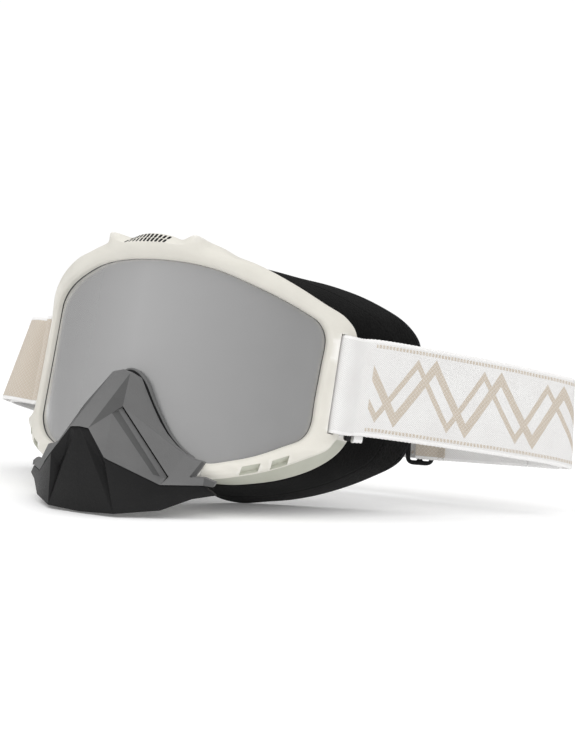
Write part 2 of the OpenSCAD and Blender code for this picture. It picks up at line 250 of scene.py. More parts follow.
def block(centre, size, turn, radius, steps=4):
    """Points and faces of a box with rounded upright edges, turned by degrees about X, Y and Z."""
    w, d, h = np.array(size) / 2
    corners = np.array([[[-w, -d, z], [w, -d, z], [w, d, z], [-w, d, z]] for z in (-h, h)], float)
    outline = rounded(corners, radius, steps)
    spin = Matrix.Identity(3)
    for angle, axis in zip(turn, "XYZ"):
        spin = Matrix.Rotation(math.radians(angle), 3, axis) @ spin
    points = outline.reshape(-1, 3) @ np.array(spin).T + np.array(centre)
    return points, capped_faces(2, outline.shape[1])


def gather(blocks):
    """Several sets of points and faces as one."""
    points, faces, start = [], [], 0
    for p, f in blocks:
        points.append(p)
        faces += [tuple(i + start for i in face) for face in f]
        start += len(p)
    return np.concatenate(points), faces


def carve(obj, blocks, look=0):
    """Cuts blocks given in the lens frame out of an object; look picks the cut's material."""
    points, faces = gather(blocks)
    cutter = add_mesh("cutter", placed(points), faces)
    for material in obj.data.materials:
        cutter.data.materials.append(material)
    cutter.data.polygons.foreach_set("material_index", [look] * len(cutter.data.polygons))
    modify(obj, "BOOLEAN", operation="DIFFERENCE", object=cutter, solver="EXACT")
    bpy.data.objects.remove(cutter)


# ------------ materials

class Graph:
    """The nodes of one material, ending in its principled shader."""

    def __init__(self, name):
        self.material = bpy.data.materials.new(name)
        self.material.use_nodes = True
        self.tree = self.material.node_tree
        self.tree.nodes.clear()
        self.place = self.node("TexCoord").outputs["Object"]

    def node(self, kind, inputs=None, **settings):
        """Adds a node; an input is a value or another node's output."""
        made = self.tree.nodes.new("ShaderNode" + kind)
        for key, value in settings.items():
            setattr(made, key, value)
        for key, value in (inputs or {}).items():
            if isinstance(value, bpy.types.NodeSocket):
                self.tree.links.new(value, made.inputs[key])
            else:
                made.inputs[key].default_value = value
        return made

    def math(self, operation, a, b=0.0):
        return self.node("Math", {0: a, 1: b}, operation=operation).outputs[0]

    def apart(self, a, b):
        """The distance between two values."""
        return self.math("ABSOLUTE", self.math("SUBTRACT", a, b))

    def wave(self, value, length):
        """A sine wave of that length."""
        return self.math("SINE", self.math("MULTIPLY", value, 2 * math.pi / length))

    def noise(self, scale, detail=3.0, roughness=0.5, place=None):
        return self.node("TexNoise", {"Vector": place or self.place, "Scale": scale,
                                      "Detail": detail, "Roughness": roughness}).outputs["Fac"]

    def cells(self, scale):
        return self.node("TexVoronoi", {"Vector": self.place, "Scale": scale}).outputs["Distance"]

    def blend(self, factor, a, b):
        """Mixes two colours."""
        return self.node("Mix", {0: factor, 6: a, 7: b}, data_type="RGBA").outputs[2]

    def between(self, value, low, high, first=0.0, last=1.0):
        """Turns a value from low..high into first..last, held at both ends."""
        return self.node("MapRange", {0: value, 1: low, 2: high, 3: first, 4: last}).outputs[0]

    def bump(self, height, strength, distance, under=None):
        inputs = {"Strength": strength, "Distance": distance, "Height": height}
        if under:
            inputs["Normal"] = under
        return self.node("Bump", inputs).outputs[0]

    def finish(self, **inputs):
        """Sets the shader's inputs, with _ for each space in their names."""
        shader = self.node("BsdfPrincipled", {k.replace("_", " "): v for k, v in inputs.items()})
        self.node("OutputMaterial", {"Surface": shader.outputs[0]})
        return self.material


def tone(r, g, b):
    """A colour as a screen shows it, 0 to 255, in linear light."""
    return tuple(((c / 255 + 0.055) / 1.055) ** 2.4 for c in (r, g, b)) + (1.0,)


def shell_plastic(name, dark, light):
    """Satin pale moulding: faint mottling, fine grain and lighter sharp edges."""
    g = Graph(name)
    base = g.blend(g.between(g.noise(60, 4), 0.3, 0.7), dark, light)
    edges = g.node("NewGeometry").outputs["Pointiness"]
    base = g.blend(g.between(edges, 0.52, 0.6), base, tone(240, 238, 233))
    rough = g.between(g.noise(900, 2), 0.3, 0.7, 0.36, 0.46)
    return g.finish(Base_Color=base, Roughness=rough, Specular_IOR_Level=0.4,
                    Normal=g.bump(g.noise(1600, 2), 0.06, 0.0002))


def mirror_glass():
    """Silver mirror coating with a painted reflection that darkens towards both sides, and faint
    haze.
    """
    g = Graph("mirror_glass")
    across = g.node("SeparateXYZ", {0: g.place}).outputs[0]
    # Painted reflection: the base colour is lightest near the middle and darker towards both sides.
    sides = g.between(g.apart(across, -0.004), 0.0, 0.07)
    base = g.blend(sides, tone(217, 217, 217), tone(184, 184, 184))
    rough = g.between(g.noise(140, 4), 0.3, 0.7, 0.2, 0.26)
    return g.finish(Base_Color=base, Metallic=0.72, Roughness=rough, Coat_Weight=0.2,
                    Coat_Roughness=0.12)


def clear_pane():
    """Clear plastic with a faint haze."""
    g = Graph("clear_pane")
    haze = g.noise(90, 4)
    base = g.blend(g.between(haze, 0.3, 0.7), tone(196, 200, 203), tone(214, 218, 220))
    return g.finish(Base_Color=base, Roughness=g.between(haze, 0.3, 0.7, 0.06, 0.12),
                    Transmission_Weight=0.85, IOR=1.49)


def foam(name, dark, light, cell, depth):
    """Open-cell foam: pores at two sizes under a soft sheen."""
    g = Graph(name)
    pores = g.cells(cell)
    small = g.cells(cell * 2.7)
    base = g.blend(g.between(pores, 0.05, 0.6), dark, light)
    base = g.blend(g.between(g.noise(45, 3), 0.35, 0.65, 0.0, 0.35), base, dark)
    fine = g.bump(small, 0.35, depth * 0.5)
    return g.finish(Base_Color=base, Roughness=g.between(small, 0.0, 0.6, 0.98, 0.86),
                    Specular_IOR_Level=0.06, Sheen_Weight=0.03, Sheen_Roughness=0.6,
                    Normal=g.bump(pores, 0.4, depth, fine))


def fleece():
    """Short brushed pile: streaky tone, fuzz and a stronger sheen."""
    g = Graph("fleece")
    stretch = g.node("Mapping", {"Vector": g.place, "Scale": (1.0, 1.0, 0.35)}).outputs[0]
    pile = g.noise(1400, 5, 0.7, stretch)
    base = g.blend(g.between(pile, 0.3, 0.7), tone(8, 8, 9), tone(28, 28, 30))
    return g.finish(Base_Color=base, Roughness=g.between(g.noise(300), 0.3, 0.7, 0.85, 0.98),
                    Specular_IOR_Level=0.05, Sheen_Weight=0.1, Sheen_Roughness=0.45,
                    Normal=g.bump(pile, 0.7, 0.0005))


def plastic(name, dark, light, grain, strength, roughness):
    """Textured moulding: pebbled grain, cloudy tone and a painted highlight on sharp edges."""
    g = Graph(name)
    pebble = g.noise(grain, 3, 0.6)
    base = g.blend(g.between(g.noise(38, 4), 0.3, 0.7), dark, light)
    # Painted highlight: sharp edges, found by pointiness, are lightened.
    edges = g.node("NewGeometry").outputs["Pointiness"]
    base = g.blend(g.between(edges, 0.53, 0.68, 0.0, 0.55), base,
                   tuple(min(1.0, c * 1.7 + 0.02) for c in light[:3]) + (1.0,))
    rough = g.between(pebble, 0.3, 0.7, roughness - 0.06, roughness + 0.08)
    return g.finish(Base_Color=base, Roughness=rough, Specular_IOR_Level=0.22,
                    Normal=g.bump(pebble, strength, 0.0004))


# Millimetres: the weave's repeats across and along the strap, the beige pattern's own coarser
# one and its ticks', the zigzag's run from a low to a high point and where it starts, and
# the soft end of the pattern
WARP, WEFT, DOT, TICK = 1.05, 1.3, 2.2, 2.0
ZIGZAG_RUN, ZIGZAG_LOW, EDGE = 21.0, 9.5, 0.5
ZIGZAG_SLOPE = 1.4


def beige_pattern(g, across, along, off_centre, start, end, field_from):
    """Mask of a double zigzag between two ticked lines, and of a solid field further on."""
    def zigzag(shift, half):
        fold = g.math("PINGPONG", g.math("ADD", along, shift), ZIGZAG_RUN)
        line = g.math("ADD", g.math("MULTIPLY", fold, ZIGZAG_SLOPE), ZIGZAG_LOW)
        return g.between(g.apart(across, line), half + 0.3, half)

    border = g.between(g.apart(off_centre, 20.7), 0.95, 0.75)
    border = g.math("MULTIPLY", border, g.between(g.wave(along, TICK), -0.5, 0.0, 0.25))
    lines = g.math("MAXIMUM", g.math("MAXIMUM", zigzag(0.0, 3.6), zigzag(11.0, 2.3)), border)
    inside = g.math("MULTIPLY", g.between(along, start, start + EDGE),
                    g.between(along, end, end - EDGE))
    field = g.math("MULTIPLY", g.between(along, field_from, field_from + EDGE),
                   g.between(off_centre, 22.2, 22.0))
    dots = g.math("MULTIPLY", g.wave(along, DOT), g.wave(across, DOT))
    mask = g.math("MAXIMUM", g.math("MULTIPLY", lines, inside), field)
    return g.math("MULTIPLY", mask, g.between(dots, -1.0, 0.3, 0.62, 1.0))


def webbing_material(name, *pattern):
    """Woven elastic. The cloth map holds millimetres across and along the strap. The pattern,
    if there is one, is given by its start and end and by where a solid beige field starts."""
    g = Graph(name)
    cloth = g.node("SeparateXYZ", {0: g.node("UVMap", uv_map="cloth").outputs[0]})
    across, along = cloth.outputs[0], cloth.outputs[1]
    weave = g.between(g.math("MULTIPLY", g.wave(across, WARP), g.wave(along, WEFT)), -1.0, 1.0)
    off_centre = g.apart(across, STRAP_WIDTH / 2)
    selvedge = g.between(off_centre, 22.3, 22.7)
    cream = g.blend(g.between(g.noise(70, 3), 0.3, 0.7), tone(233, 232, 231), tone(240, 240, 239))
    cream = g.blend(g.between(weave, 0.15, 0.6), tone(220, 218, 216), cream)
    height = weave
    if pattern:
        mask = beige_pattern(g, across, along, off_centre, *pattern)
        beige = g.blend(g.between(weave, 0.1, 0.7), tone(190, 178, 163), tone(207, 196, 181))
        cream = g.blend(mask, cream, beige)
        height = g.math("ADD", weave, g.math("MULTIPLY", mask, 0.5))
    base = g.blend(selvedge, cream, tone(244, 243, 242))
    return g.finish(Base_Color=base, Roughness=g.between(weave, 0.0, 1.0, 0.92, 0.78),
                    Specular_IOR_Level=0.15, Sheen_Weight=0.1, Sheen_Roughness=0.5,
                    Normal=g.bump(height, 0.45, 0.00035))


def thread():
    """Twisted beige sewing thread."""
    g = Graph("thread")
    twist = g.node("TexWave", {"Vector": g.place, "Scale": 900.0, "Distortion": 1.5}).outputs["Fac"]
    base = g.blend(twist, tone(160, 150, 138), tone(205, 196, 184))
    return g.finish(Base_Color=base, Roughness=g.between(twist, 0.0, 1.0, 0.6, 0.8),
                    Sheen_Weight=0.2, Normal=g.bump(twist, 0.4, 0.0002))


WHITE = shell_plastic("white_shell", tone(218, 215, 206), tone(225, 222, 213))
# A darker copy of the white shell: painted shade for the frame's down-facing lower inset wall and for
# the insides of the cuts.
WHITE_PAINTED_SHADE = shell_plastic("white_painted_shade", tone(188, 189, 176), tone(196, 197, 185))
MIRROR_GLASS = mirror_glass()
CLEAR = clear_pane()
SEAL = foam("seal_foam", tone(20, 20, 21), tone(44, 44, 45), 1300, 0.0003)
VENT = foam("vent_foam", tone(24, 24, 25), tone(58, 58, 60), 900, 0.0006)
FIRM = foam("firm_foam", tone(5, 5, 5), tone(20, 20, 20), 950, 0.0004)
SOFT = foam("soft_foam", tone(6, 6, 6), tone(24, 24, 24), 750, 0.0005)
FLEECE = fleece()
GREY = plastic("plate_plastic", tone(104, 104, 104), tone(111, 111, 111), 1100, 0.3, 0.55)
# A darker copy of the plate's grey: painted shade for the plate's facets that fall in shade.
PLATE_PAINTED_SHADE = plastic("plate_painted_shade", tone(84, 84, 84), tone(91, 91, 91), 1100, 0.3, 0.6)
DARK = plastic("deflector_plastic", tone(20, 20, 21), tone(26, 26, 26), 1200, 0.3, 0.5)
BLACK = plastic("black_plastic", tone(14, 14, 15), tone(22, 22, 23), 1500, 0.15, 0.42)
THREAD = thread()
END_WEAVE = webbing_material("strap_end_weave", -50, -40, -100)
PLAIN_WEAVE = webbing_material("strap_plain_weave")


def finish_piece(obj, material, body, slot, *nodes):
    """Gives a piece its material and body and hides the CAD nodes that it stands for; slot is not
    used.
    """
    if not obj.data.materials:
        obj.data.materials.append(material)
    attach(obj, body)
    if nodes:
        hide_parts(*nodes)


# ------------ frame

TOP_RIDGE = 22.5                 # arc from the middle to each of the brow's two ridges
FLANGE = np.array([0, 1.6, 0])   # thickness of the flange that the foam is glued to
WALL_LINE = 7                    # number of the inset wall's back corner in the section
CORNER_STEPS = 4                 # points round each corner
# Roundings of the section's corners, from the lip over the rim and wall round to the lens groove
CORNERS = [0.5, 0.8, 2.4, 0.5, 0.9, 0.9, 1.2, 1.1, 0.6, 0.5, 0.7, 0.5, 0.4, 0.3, 0.3, 0.3, 0.4]


def inner_face(rows):
    """Front and rear edge of the inner side of the frame's wall."""
    lip, out = lens_edge(rows)
    wall, _, _, inwards = back_edges(rows)
    return wrap(lip + 4.2 * out, -9.6), wall + 2.2 * inwards - FLANGE


def frame_sections(rows):
    """The frame's section: lip, crowned front, rim, inset wall, foam flange and lens groove.
    Over the brow the rim rolls back into a top surface with a ridge on each side."""
    lip, out = lens_edge(rows)
    wall, _, _, inwards = back_edges(rows)
    rim = rows[:, 2:4]
    arc = np.abs(rim[:, 0])

    # at the sides: a hollow in the lower front and an ear at the lower corner
    hollow = 1.3 * hump(arc, 55, 4) * (rim[:, 1] < -30)
    ear = 3.6 * hump(rim[:, 1], -28.5, 4.5) * np.clip((arc - 80) / 10, 0, 1)
    side = [wrap(mix(lip, rim, 0.45), 3.2 - hollow),
            wrap(rim - 1.8 * out, 2.4 - 0.2 * hollow + 0.7 * ear),
            wrap(rim, 0.4 + ear), wrap(rim - 0.4 * out, -1.4 + ear), wrap(lip + 6.5 * out, -2.2)]

    # over the brow: how far the outline rises, and how far its ridges and middle reach forwards
    rise = (0.9 * hump(arc, TOP_RIDGE, 3.4) - 1.1 * hump(arc, 14, 3.4) + 0.8 * hump(arc, 0, 9)
            + 1.2 * hump(arc, 34, 7))[:, None]
    ahead = 9 * hump(arc, TOP_RIDGE, 6) + 6 * hump(arc, 0, 14)
    near = fade(arc, 26)
    crease = lip + (7.8 - 1.1 * fade(arc, 18)[:, None] + 0.25 * rise) * out
    rear = wrap(rim + (0.75 * rise - 0.5) * out, -8)
    top = [wrap(lip + 4 * out, 3.3 + near), wrap(crease, 2.2 + 3.3 * near),
           wrap(rim + rise * out, ahead - 3.4), rear, mix(rear, wall, 0.55)]

    share = np.clip((52 - arc) / 12, 0, 1) * (lip[:, 1] > 30)
    share = (share * share * (3 - 2 * share))[:, None]
    merged = [mix(a, b, share) for a, b in zip(side, top)]
    flange = wall + 11 * inwards
    corners = [wrap(lip, 0), wrap(lip + 1.2 * out, 1.6), *merged, wall, flange, flange - FLANGE,
               *inner_face(rows)[::-1], wrap(lip, -9.6), wrap(lip, -7.9),
               wrap(lip + 3.2 * out, -7.9), wrap(lip + 3.2 * out, -2.3), wrap(lip, -2.3)]
    return np.stack(corners, 1)


def pocket(place, side):
    """A slanted pocket in the lower rim whose floor slopes in towards its lower edge."""
    here, ahead = frame_sections(stations([place, place - 0.1]))
    inner, crown, outer = here[1:4]
    along = unit(ahead[2] - crown)
    out = outer - inner
    out = unit(out - along * (out @ along))
    front = np.cross(along, out)
    front = front if front[1] < 0 else -front
    points, faces = block((0, 0, 0), (9, 8, 2.8), (-32, 0, 0), 0.6)
    points[:, 0] -= points[:, 2] * 0.55
    points[:, 1] += 0.5
    middle = mix(inner, outer, 0.68) + 1.3 * front
    points = middle + points @ np.stack([along, front, out])
    return points * np.array([side, 1, 1]), faces


def frame_shell():
    """The frame, from which the slots beside the strap bars, the pockets, the top vents and the
    peg holes are cut in this order."""
    sections = frame_sections(even_stations(430))
    obj = ring_mesh("frame_shell", rounded(sections, CORNERS, CORNER_STEPS))
    obj.data.materials.append(WHITE)
    obj.data.materials.append(WHITE_PAINTED_SHADE)
    # Painted shade: the lower inset wall takes the darker copy of the white.
    low = sections[:, WALL_LINE, 2] < -18
    wall_columns = range((WALL_LINE - 1) * CORNER_STEPS + 1, WALL_LINE * CORNER_STEPS + 3)
    for i, polygon in enumerate(obj.data.polygons):
        row, column = divmod(i, len(CORNERS) * CORNER_STEPS)
        polygon.material_index = int(low[row] and column in wall_columns)
    cuts = []
    for s in SIDES:
        cuts.append(block((s * 83.3, 48.1, 4.8), (3.8, 24, 49.6 - 0.8 * s), (0, 0, s * 60.5), 1.2))
        cuts += [pocket(13.48, s), pocket(12.58, s)]
    cuts += [block((x, 11 + x * x * 0.006, 58), (9, 5, 9), (0, 0, 0), 1.2)
             for x in range(-30, 31, 15)]
    cuts += [block(peg, (3.6, 3.6, 10), (102, 0, 0), 1.7)
             for peg in ((0, -1.5, -11.2), (-40, 8.5, -48.3), (40, 8.5, -48.3))]
    # The insides of all these cuts take material 1, the painted shade.
    carve(obj, cuts, 1)
    modify(obj, "WELD", merge_threshold=0.00002)
    modify(obj, "TRIANGULATE", min_vertices=5)
    smooth(obj, 38)
    finish_piece(obj, WHITE, "goggle", "frame_shell", "frame")


BROW_GAP = 22    # arc between two stations over the brow


def brow_section(arc):
    """The frame's section at an arc from the middle of the brow."""
    return frame_sections(stations([arc / BROW_GAP % len(LOOP)]))[0]


def brow_marks():
    """A plain double row of slanted dashes let into the middle of the brow."""
    made = []
    for k, shift in ((0.2, 0), (0.66, 0.72)):
        for i in range(-5, 6):
            u = i * 2.1 + shift - 3
            front, rear = brow_section(u)[3:5]
            here = mix(front, rear, k)
            across = unit(brow_section(u + 1)[4] - rear)
            up = unit(rear - front)
            out = unit(np.cross(across, up))
            if out[2] < 0:
                out = -out
            slant = unit(up + 0.2 * across)
            corners = [here + a * 0.6 * across + b * 1.25 * slant + c * out
                       for c in (-0.5, 0.12) for a, b in ((-1, -1), (1, -1), (1, 1), (-1, 1))]
            outline = rounded(np.array(corners).reshape(2, 4, 3), 0.35, 3)
            made.append((outline.reshape(-1, 3), capped_faces(2, outline.shape[1])))
    points, faces = gather(made)
    obj = add_mesh("brow_marks", placed(points), faces)
    finish_piece(obj, DARK, "goggle", "black_plastic")


# ------------ lens

def pane(name, front, back, grow):
    """A curved pane: rings from its middle to its edge, mapped onto the lens's cylinder."""
    around, rings = 200, 26
    lip, out = lens_edge(even_stations(around))
    edge = lip + grow * out
    middle = np.array([0, 18.0])
    shares = np.linspace(0, 1, rings + 1)[1:] ** 0.8
    sides = []
    for depth in (front, back):
        loops = [wrap(mix(middle, edge, k), depth) for k in shares]
        sides.append(np.concatenate([wrap(middle[None], depth), *loops]))
    count = len(sides[0])
    faces = []
    for start in (0, count):
        faces += [(start, start + 1 + j, start + 1 + (j + 1) % around) for j in range(around)]
        faces += [tuple(start + 1 + i for i in f) for f in grid_faces(rings, around)]
    last = count - around
    faces += [(last + j, last + (j + 1) % around, last + count + (j + 1) % around, last + count + j)
              for j in range(around)]
    return add_mesh(name, placed(np.concatenate(sides)), faces, 50)


def edge_ring(name, grow_out, grow_in, front, back, radius):
    """A strip that follows the lens's outline between two offsets and two depths."""
    lip, out = lens_edge(even_stations(300))
    corners = [wrap(lip + grow_out * out, front), wrap(lip + grow_out * out, back),
               wrap(lip + grow_in * out, back), wrap(lip + grow_in * out, front)]
    return ring_mesh(name, rounded(np.stack(corners, 1), radius, 4))


def lenses():
    """Mirrored outer pane, clear inner pane, the foam between them and the dark seat line."""
    finish_piece(pane("mirror_lens", -2.5, -3.7, 2.4), MIRROR_GLASS, "goggle", "mirror_lens",
                 "lens_outer")
    finish_piece(pane("clear_lens", -6.4, -7.2, 2.0), CLEAR, "goggle", "clear_lens", "lens_inner")
    seal = edge_ring("lens_seal_foam", 2.0, -3.5, -3.72, -6.38, 0.7)
    finish_piece(seal, SEAL, "goggle", "seal_foam", "lens_seal")
    bead = edge_ring("lens_gasket", 0.6, 0.02, -2.0, -2.48, 0.2)
    finish_piece(bead, BLACK, "goggle", "black_plastic")


# ------------ foam

LAYER_ROWS = 7    # rows of points up each side of a foam layer


def foam_ring(name, start, end, gap, material, slot, node, edge):
    """One foam layer between two shares of the foam's depth: bulging outer side, soft corners
    and a slight unevenness."""
    wall, outer, inner, inwards = back_edges(even_stations(360))
    shares = np.linspace(start, end, LAYER_ROWS)
    tuck = 0.3 * np.sin(np.pi * np.linspace(0, 1, LAYER_ROWS)) - 0.18
    rows = [mix(wall, outer, k) - 6.4 * k * (1 - k) * inwards for k in shares]
    rows += [mix(wall + 12.5 * inwards, inner, k) + t * inwards for k, t in zip(shares[::-1], tuck)]
    for i in (0, -1):
        rows[i] = rows[i] + np.array([0, gap, 0])
    sections = np.stack(rows, 1)
    radii = np.full(2 * LAYER_ROWS, 2.0)
    radii[[0, LAYER_ROWS - 1, LAYER_ROWS, -1]] = edge
    obj = ring_mesh(name, rounded(sections, radii, 3), sharp=60)
    points = np.array([v.co for v in obj.data.vertices])
    wave = (np.sin(points[:, 0] * 190 + points[:, 2] * 80) * np.sin(points[:, 1] * 210 + 1.0)
            + 0.6 * np.sin(points[:, 2] * 330 + points[:, 0] * 240))
    normals = np.array([v.normal for v in obj.data.vertices])
    points += normals * (wave * 0.00012)[:, None]
    obj.data.vertices.foreach_set("co", points.astype(np.float32).ravel())
    obj.data.update()
    finish_piece(obj, material, "goggle", slot, node)


def vent_foam(name, start, end, flip, node):
    """A strip of filter foam laid inside the frame's wall behind the vents."""
    rows = even_stations(60, start, end)
    front, rear = inner_face(rows)
    back = unit(rear - front)
    inwards = back_edges(rows)[3]
    away = unit(inwards - (inwards * back).sum(1, keepdims=True) * back)
    a, b = mix(front, rear, 0.1) + 0.55 * away, mix(front, rear, 0.48) + 0.55 * away
    sections = rounded(np.stack([a, b, b + 0.9 * away, a + 2.6 * away], 1), 0.35, 4)
    sections = sections * np.array([flip, 1, 1])
    obj = ring_mesh(name, sections, closed=False)
    finish_piece(obj, VENT, "goggle", "vent_foam", node)


def foams():
    """Three layers of face foam and the filter foam behind the vents."""
    foam_ring("face_foam_base", 0, 0.5, 0.1, FIRM, "face_foam", "face_foam_firm", 0.7)
    foam_ring("face_foam_comfort", 0.5, 0.93, 0.05, SOFT, "face_foam", "face_foam_soft", 0.8)
    foam_ring("face_fleece_layer", 0.93, 1, 0.05, FLEECE, "fleece", "face_fleece", 1.4)
    vent_foam("vent_filter_top", -2.7, 2.7, 1, "top_vent_foam")
    vent_foam("vent_filter_right", 11.8, 14.6, 1, "lower_vent_foam_right")
    vent_foam("vent_filter_left", 11.8, 14.6, -1, "lower_vent_foam_left")


# ------------ nose guard

# The plate's rear edge, from the arch's middle round to the wing tip
RIM_LINE = [(4.8, -9.4, -7.7), (8.5, -5, -9), (13.2, -4.4, -15), (17.9, -3.6, -21.6),
            (22.4, -2.7, -28.3), (26.6, -1.7, -33.6), (31, -0.3, -38.2), (35.4, 1.2, -41.4),
            (39.8, 2.9, -43.4), (42.8, 3.8, -43.8)]


def shell(name, points, faces, wall, edge, looks=(), shares=()):
    """A faceted half and its mirror image, given a wall set back by one step, with soft edges."""
    points = np.array(points, float)
    count = len(points)
    skin = np.concatenate([points, points * np.array([-1, 1, 1])])
    halves = faces + [tuple(i + count for i in f[::-1]) for f in faces]
    back = [tuple(i + 2 * count for i in f[::-1]) for f in halves]
    edges = dict.fromkeys((a, b) for f in halves for a, b in zip(f, f[1:] + f[:1])
                          if abs(skin[a][0]) + abs(skin[b][0]) > 0.001)
    rim = [(b, a, a + 2 * count, b + 2 * count) for a, b in edges if (b, a) not in edges]
    obj = add_mesh(name, placed(np.concatenate([skin, skin + np.array(wall)])), halves + back + rim)
    for look in looks:
        obj.data.materials.append(look)
    for i, share in enumerate(tuple(shares) * 2):
        obj.data.polygons[i].material_index = share
    modify(obj, "WELD", merge_threshold=0.00003)
    modify(obj, "BEVEL", width=edge, segments=2, limit_method="ANGLE",
           angle_limit=math.radians(8), use_clamp_overlap=False)
    smooth(obj, 30)
    return obj


def nose_plate():
    """Grey upper part: middle panel, knee facet, low panel, riser, sunk strip with its groove,
    outer panel, ledge, wing tip and the short wall that meets the frame."""
    gap = [0.0, 0.9, 1.8, 2.2, 2.1, 1.8, 1.3, 0.8, 0.3, 0.0]
    away = unit(np.array([-0.5, -0.6, -0.3]))
    edge = [tuple(np.array(p) + away * g) for p, g in zip(RIM_LINE, gap)]
    pts = [
        (0, -9.8, -6.6), (0, -36.4, -38.2), (4.8, -36, -38.6),  # 0-2 middle: top, apex, corner
        (8.4, -24.5, -29.3), (28, -12.2, -53.8),  # 3-4 top of the riser
        (8.5, -20.2, -26.9), (29.9, -9.0, -54.0),  # 5-6 foot of the riser
        (9.2, -18.3, -25.3), (33.0, -8.2, -53.6),  # 7-8 far side of the sunk strip
        (8.4, -16.2, -24.5), (32.4, -6.0, -53.2),  # 9-10 bottom of the groove
        (10.2, -19.3, -25.0), (34.4, -9.2, -53.8),  # 11-12 edge of the outer panel
        (14.3, -33.7, -50.8), (33, -13.3, -58.2), (47, 1, -55),  # 13-15 lower edge
        (41, -2.5, -52.2),  # 16 outer panel's low corner
        (46.6, 1.6, -51.2), (50.8, 5.3, -52.5), (50.2, 4.6, -55),  # 17-19 wing tip
        (43.3, 5.8, -44.1), (41.7, 0.6, -52.4),  # 20-21 foot of the side wall
    ]
    first = len(pts)
    pts += edge
    last = len(pts) - 1
    faces = [(0, 1, 2, first), (first, 2, 3, 11), (2, 13, 3), (13, 14, 4), (13, 4, 3), (3, 4, 6, 5),
             (5, 6, 8, 7), (7, 8, 10, 9), (9, 10, 12, 11), (3, 5, 7, 9, 11),
             (4, 14, 6), (6, 14, 8), (8, 14, 10), (10, 14, 12), (12, 14, 15, 16),
             (16, 15, 17), (17, 15, 19, 18), (last, 16, 21, 20), (16, 17, 21)]
    # Faces marked 1 take the darker grey as painted shade: the knee facet, the riser, the groove and
    # its end, the wing's end and the side wall.
    shares = [0, 1, 0, 0, 0, 1, 0, 1, 1, 1] + [0] * 6 + [1, 1, 0]
    faces += [(i, 11, i + 1) for i in range(first, last - 2)]
    faces += [(11, 12, last - 2), (12, last - 1, last - 2), (12, 16, last - 1), (16, last, last - 1)]
    shares += [0] * (len(faces) - len(shares))
    obj = shell("nose_plate_upper", pts, faces, (0, 2, 0.7), 0.00025, (GREY, PLATE_PAINTED_SHADE), shares)
    finish_piece(obj, GREY, "nose_guard", "plate_plastic", "nose_plate")


def nose_rim():
    """The thin rear rim that hugs the lens's arch, and a black strip in the slot before it that is
    painted shade for the slot.
    """
    lip, out = lens_edge(stations(np.linspace(15.6, 24.4, 90)))
    rim = ((-1.2, -2.2), (-1.2, 1.2), (-0.1, 1.9), (-0.1, -2.2))
    # A black strip laid in the slot: painted shade where the slot lies in deep shadow.
    slot_shade = ((0, 2.2), (1.4, 2.6), (6, 4.1), (6, 3.6), (1.3, 2.0), (0, 0.6))
    outlines = (("nose_plate_rim", GREY, rim), ("nose_plate_slot_shade", BLACK, slot_shade))
    for name, material, outline in outlines:
        sections = np.stack([wrap(lip + far * out, depth) for far, depth in outline], 1)
        obj = ring_mesh(name, rounded(sections, 0.25, 3), closed=False)
        finish_piece(obj, material, "nose_guard", "plate_plastic")


def nose_beak():
    """Dark faceted deflector below the plate."""
    pts = [(0, -36.2, -38.5), (1.8, -36.4, -40.4), (4.8, -35.8, -38.9), (14.3, -33.5, -51),
           (33, -13.1, -58.4), (47, 1.2, -55.2), (51.5, 6, -58.5), (43.5, -1.5, -62),
           (33.7, -11, -69.5), (17.7, -23.5, -74.4), (0, -24.2, -75.4), (12.6, -27, -55.5)]
    faces = [(0, 1, 9, 10), (0, 2, 1), (1, 2, 11), (2, 3, 11), (3, 9, 11), (1, 11, 9), (3, 4, 9),
             (4, 8, 9), (4, 5, 8), (5, 7, 8), (5, 6, 7)]
    obj = shell("nose_beak", pts, faces, (0, 2.4, 0.7), 0.0004)
    finish_piece(obj, DARK, "nose_guard", "deflector_plastic", "nose_deflector")


# ------------ strap

# Ends of the strap's straight run behind the goggles
RUN_START = np.array([140, 168, 13.0])
RUN_END = np.array([-60, 148, 4.0])


def run_point(x):
    """The point of the straight run at an X."""
    return RUN_END + (x - RUN_END[0]) / (RUN_START[0] - RUN_END[0]) * (RUN_START - RUN_END)


def run_row(x):
    """A row of the route on the straight run."""
    return [*run_point(x), 0, -0.2]


# Middle of the strap from the right bar to the left one: X, Y, Z and the lean of its width
ROUTE = np.array([
    [88.2, 60.8, 6.2, 0, 0], [93.6, 68.2, 7.6, 0, -0.01], [104, 82.5, 9.1, 0, -0.03],
    [122, 107.2, 11.2, -0.02, -0.1], [140, 131.8, 13.1, -0.05, -0.15],
    [150.5, 146, 13.9, -0.07, -0.18], [157, 154.8, 14.4, -0.07, -0.2],
    [162, 162, 14.6, -0.06, -0.2], [165.6, 167.8, 14.6, -0.05, -0.2],
    [165.6, 172, 14.4, -0.04, -0.2], [162, 173.4, 14.2, -0.03, -0.2],
    [155.5, 171, 13.8, -0.01, -0.2], run_row(147), run_row(110), run_row(80),
    run_row(40), run_row(0), run_row(-40), run_row(-60),
    [-78, 144.5, 3.6, 0, -0.16], [-94, 136, 4, 0.05, -0.1], [-107.5, 123, 4.8, 0.11, -0.05],
    [-116.5, 108, 6, 0.18, 0], [-121, 92.5, 7, 0.23, 0], [-120.8, 80, 7.2, 0.24, 0],
    [-116.5, 71, 7.2, 0.22, 0], [-108.5, 67, 7, 0.16, 0], [-100.5, 67.2, 6.6, 0.09, 0],
    [-94.8, 67.4, 5.9, 0.03, 0], [-91.2, 64.8, 5.2, 0, 0], [-88.2, 60.8, 5.2, 0, 0],
])
